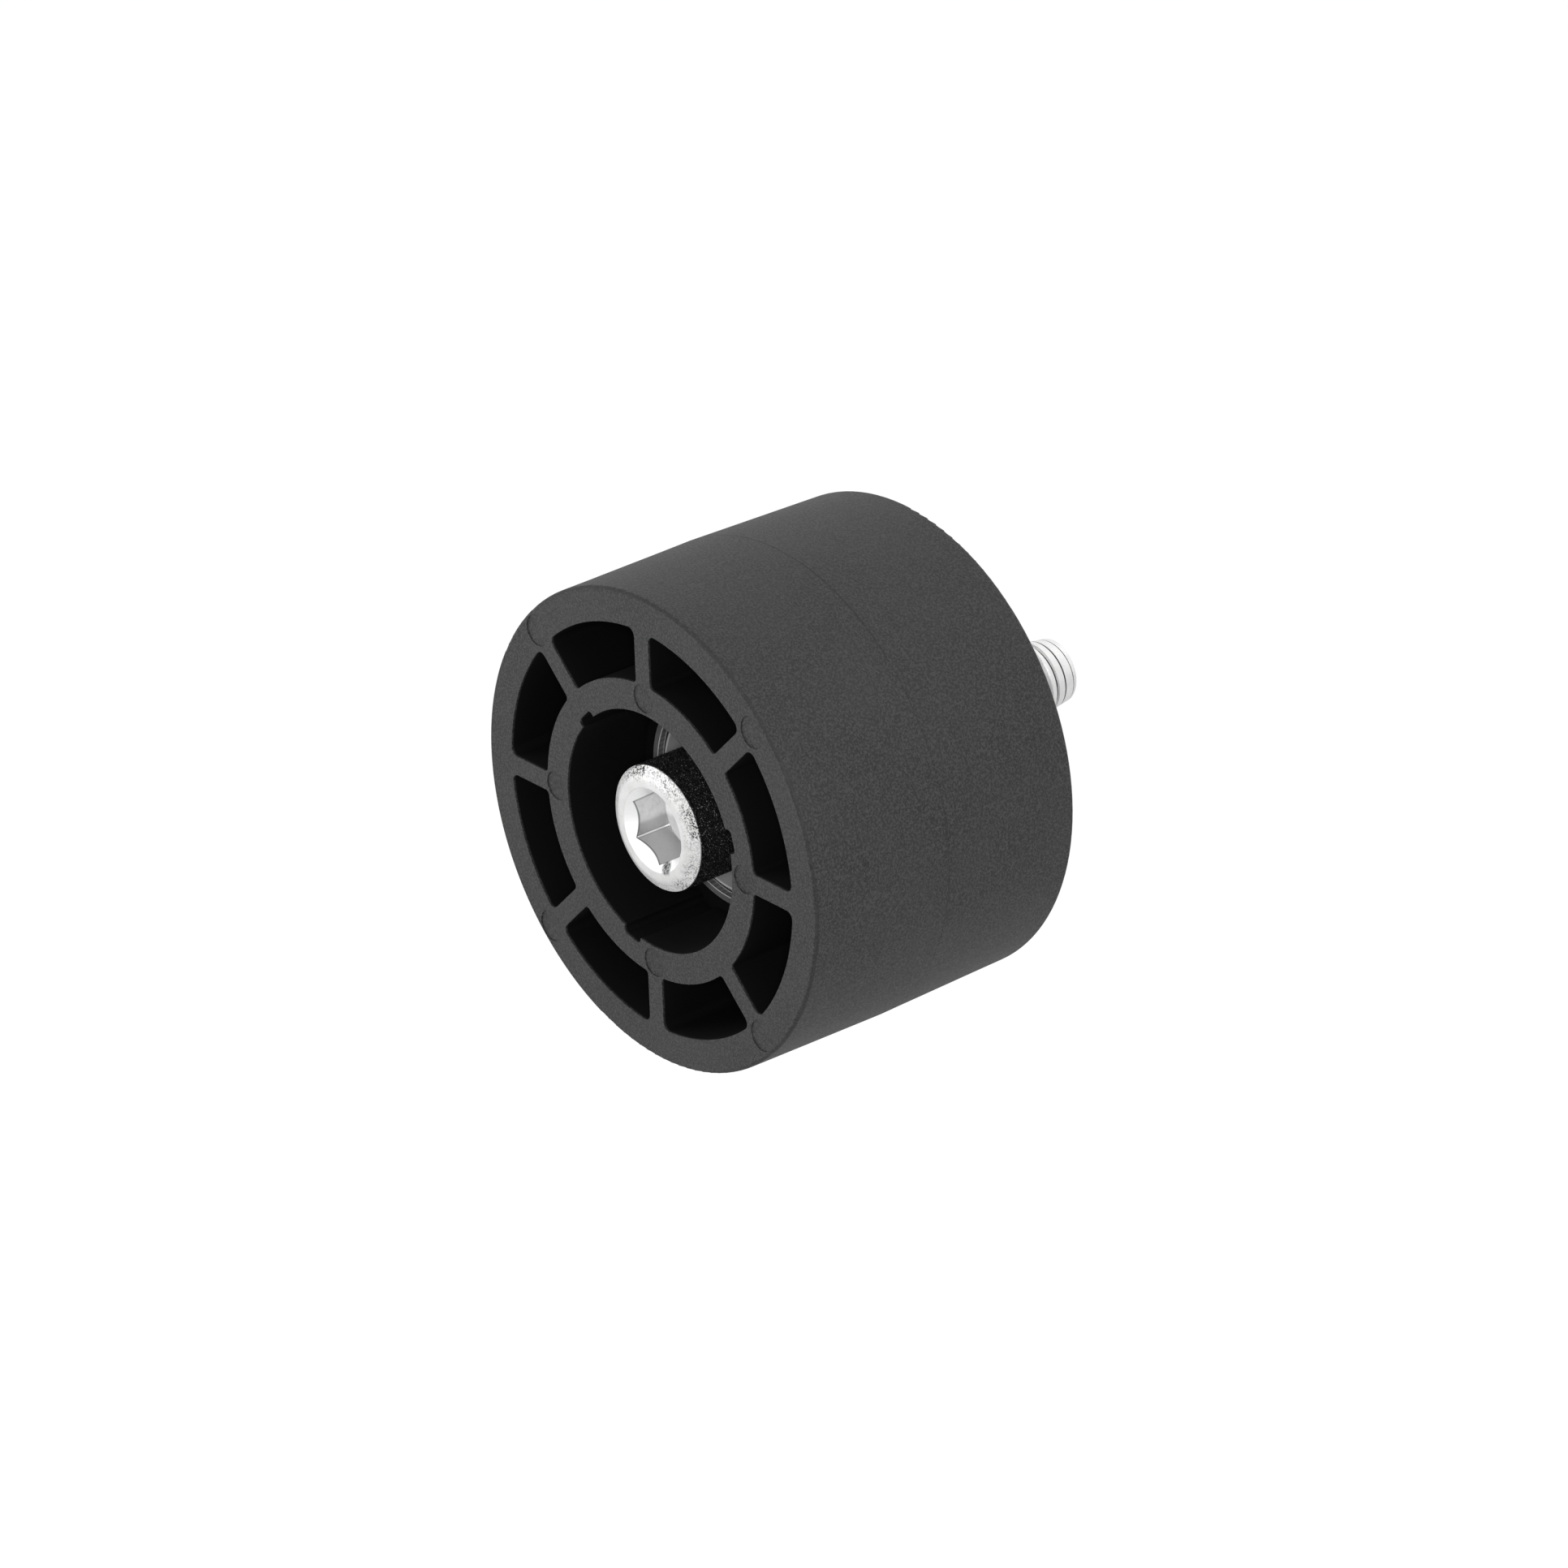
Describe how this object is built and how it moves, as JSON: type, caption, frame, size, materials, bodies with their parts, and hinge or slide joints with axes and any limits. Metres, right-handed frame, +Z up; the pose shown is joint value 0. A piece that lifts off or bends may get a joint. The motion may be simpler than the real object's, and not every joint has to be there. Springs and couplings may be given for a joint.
{
  "type": "ball bearing roller",
  "caption": "Ribbed moulded roller turning on ball bearings round a recessed socket screw, whose threaded end fastens it to a machine.",
  "frame": {"origin": "on the roller's axis, in the rear bush's end face, where the threaded end leaves it", "axes": "+Y along the axis and out of the threaded end, so the front with the screw's head faces -Y; +Z up as in the picture"},
  "size_m": [0.0606, 0.0645, 0.0606],
  "materials": {
    "roller_plastic": "black moulded nylon, fine grain",
    "zinc": "zinc-plated steel",
    "bush_steel": "turned, zinc-plated steel",
    "bearing_steel": "ground bearing steel",
    "ball_steel": "polished",
    "cage_plastic": "natural nylon"
  },
  "bodies": {
    "mounting": {"screw": "zinc", "front_bush": "bush_steel", "rear_bush": "bush_steel", "front_inner_ring": "bearing_steel", "rear_inner_ring": "bearing_steel"},
    "roller": {"roller_body": "roller_plastic", "front_outer_ring": "bearing_steel", "rear_outer_ring": "bearing_steel", "front_bearing_front_shield": "bearing_steel", "front_bearing_rear_shield": "bearing_steel", "rear_bearing_front_shield": "bearing_steel", "rear_bearing_rear_shield": "bearing_steel"},
    "front_cage": {"front_cage": "cage_plastic"},
    "rear_cage": {"rear_cage": "cage_plastic"},
    "front_ball_1": {"front_ball_1": "ball_steel"},
    "front_ball_2": {"front_ball_2": "ball_steel"},
    "front_ball_3": {"front_ball_3": "ball_steel"},
    "front_ball_4": {"front_ball_4": "ball_steel"},
    "front_ball_5": {"front_ball_5": "ball_steel"},
    "front_ball_6": {"front_ball_6": "ball_steel"},
    "front_ball_7": {"front_ball_7": "ball_steel"},
    "front_ball_8": {"front_ball_8": "ball_steel"},
    "rear_ball_1": {"rear_ball_1": "ball_steel"},
    "rear_ball_2": {"rear_ball_2": "ball_steel"},
    "rear_ball_3": {"rear_ball_3": "ball_steel"},
    "rear_ball_4": {"rear_ball_4": "ball_steel"},
    "rear_ball_5": {"rear_ball_5": "ball_steel"},
    "rear_ball_6": {"rear_ball_6": "ball_steel"},
    "rear_ball_7": {"rear_ball_7": "ball_steel"},
    "rear_ball_8": {"rear_ball_8": "ball_steel"}
  },
  "joints": [
    {"name": "roller_spin", "type": "hinge", "parent": "mounting", "child": "roller", "pos_m": [0, -0.021, 0], "axis": [0, 1, 0], "continuous": true},
    {"name": "front_cage_orbit", "type": "hinge", "parent": "mounting", "child": "front_cage", "pos_m": [0, -0.025, 0], "axis": [0, 1, 0], "continuous": true},
    {"name": "rear_cage_orbit", "type": "hinge", "parent": "mounting", "child": "rear_cage", "pos_m": [0, -0.017, 0], "axis": [0, 1, 0], "continuous": true},
    {"name": "front_ball_1_spin", "type": "hinge", "parent": "front_cage", "child": "front_ball_1", "pos_m": [0.01, -0.025, 0], "axis": [0, 1, 0], "continuous": true},
    {"name": "front_ball_2_spin", "type": "hinge", "parent": "front_cage", "child": "front_ball_2", "pos_m": [0.00707, -0.025, 0.00707], "axis": [0, 1, 0], "continuous": true},
    {"name": "front_ball_3_spin", "type": "hinge", "parent": "front_cage", "child": "front_ball_3", "pos_m": [0, -0.025, 0.01], "axis": [0, 1, 0], "continuous": true},
    {"name": "front_ball_4_spin", "type": "hinge", "parent": "front_cage", "child": "front_ball_4", "pos_m": [-0.00707, -0.025, 0.00707], "axis": [0, 1, 0], "continuous": true},
    {"name": "front_ball_5_spin", "type": "hinge", "parent": "front_cage", "child": "front_ball_5", "pos_m": [-0.01, -0.025, 0], "axis": [0, 1, 0], "continuous": true},
    {"name": "front_ball_6_spin", "type": "hinge", "parent": "front_cage", "child": "front_ball_6", "pos_m": [-0.00707, -0.025, -0.00707], "axis": [0, 1, 0], "continuous": true},
    {"name": "front_ball_7_spin", "type": "hinge", "parent": "front_cage", "child": "front_ball_7", "pos_m": [0, -0.025, -0.01], "axis": [0, 1, 0], "continuous": true},
    {"name": "front_ball_8_spin", "type": "hinge", "parent": "front_cage", "child": "front_ball_8", "pos_m": [0.00707, -0.025, -0.00707], "axis": [0, 1, 0], "continuous": true},
    {"name": "rear_ball_1_spin", "type": "hinge", "parent": "rear_cage", "child": "rear_ball_1", "pos_m": [0.01, -0.017, 0], "axis": [0, 1, 0], "continuous": true},
    {"name": "rear_ball_2_spin", "type": "hinge", "parent": "rear_cage", "child": "rear_ball_2", "pos_m": [0.00707, -0.017, 0.00707], "axis": [0, 1, 0], "continuous": true},
    {"name": "rear_ball_3_spin", "type": "hinge", "parent": "rear_cage", "child": "rear_ball_3", "pos_m": [0, -0.017, 0.01], "axis": [0, 1, 0], "continuous": true},
    {"name": "rear_ball_4_spin", "type": "hinge", "parent": "rear_cage", "child": "rear_ball_4", "pos_m": [-0.00707, -0.017, 0.00707], "axis": [0, 1, 0], "continuous": true},
    {"name": "rear_ball_5_spin", "type": "hinge", "parent": "rear_cage", "child": "rear_ball_5", "pos_m": [-0.01, -0.017, 0], "axis": [0, 1, 0], "continuous": true},
    {"name": "rear_ball_6_spin", "type": "hinge", "parent": "rear_cage", "child": "rear_ball_6", "pos_m": [-0.00707, -0.017, -0.00707], "axis": [0, 1, 0], "continuous": true},
    {"name": "rear_ball_7_spin", "type": "hinge", "parent": "rear_cage", "child": "rear_ball_7", "pos_m": [0, -0.017, -0.01], "axis": [0, 1, 0], "continuous": true},
    {"name": "rear_ball_8_spin", "type": "hinge", "parent": "rear_cage", "child": "rear_ball_8", "pos_m": [0.00707, -0.017, -0.00707], "axis": [0, 1, 0], "continuous": true}
  ],
  "couplings": [
    {"joint": "front_cage_orbit", "follows": "roller_spin", "ratio": 0.61905},
    {"joint": "rear_cage_orbit", "follows": "roller_spin", "ratio": 0.61905},
    {"joint": "front_ball_1_spin", "follows": "roller_spin", "ratio": 1.9809},
    {"joint": "front_ball_2_spin", "follows": "roller_spin", "ratio": 1.9809},
    {"joint": "front_ball_3_spin", "follows": "roller_spin", "ratio": 1.9809},
    {"joint": "front_ball_4_spin", "follows": "roller_spin", "ratio": 1.9809},
    {"joint": "front_ball_5_spin", "follows": "roller_spin", "ratio": 1.9809},
    {"joint": "front_ball_6_spin", "follows": "roller_spin", "ratio": 1.9809},
    {"joint": "front_ball_7_spin", "follows": "roller_spin", "ratio": 1.9809},
    {"joint": "front_ball_8_spin", "follows": "roller_spin", "ratio": 1.9809},
    {"joint": "rear_ball_1_spin", "follows": "roller_spin", "ratio": 1.9809},
    {"joint": "rear_ball_2_spin", "follows": "roller_spin", "ratio": 1.9809},
    {"joint": "rear_ball_3_spin", "follows": "roller_spin", "ratio": 1.9809},
    {"joint": "rear_ball_4_spin", "follows": "roller_spin", "ratio": 1.9809},
    {"joint": "rear_ball_5_spin", "follows": "roller_spin", "ratio": 1.9809},
    {"joint": "rear_ball_6_spin", "follows": "roller_spin", "ratio": 1.9809},
    {"joint": "rear_ball_7_spin", "follows": "roller_spin", "ratio": 1.9809},
    {"joint": "rear_ball_8_spin", "follows": "roller_spin", "ratio": 1.9809}
  ]
}
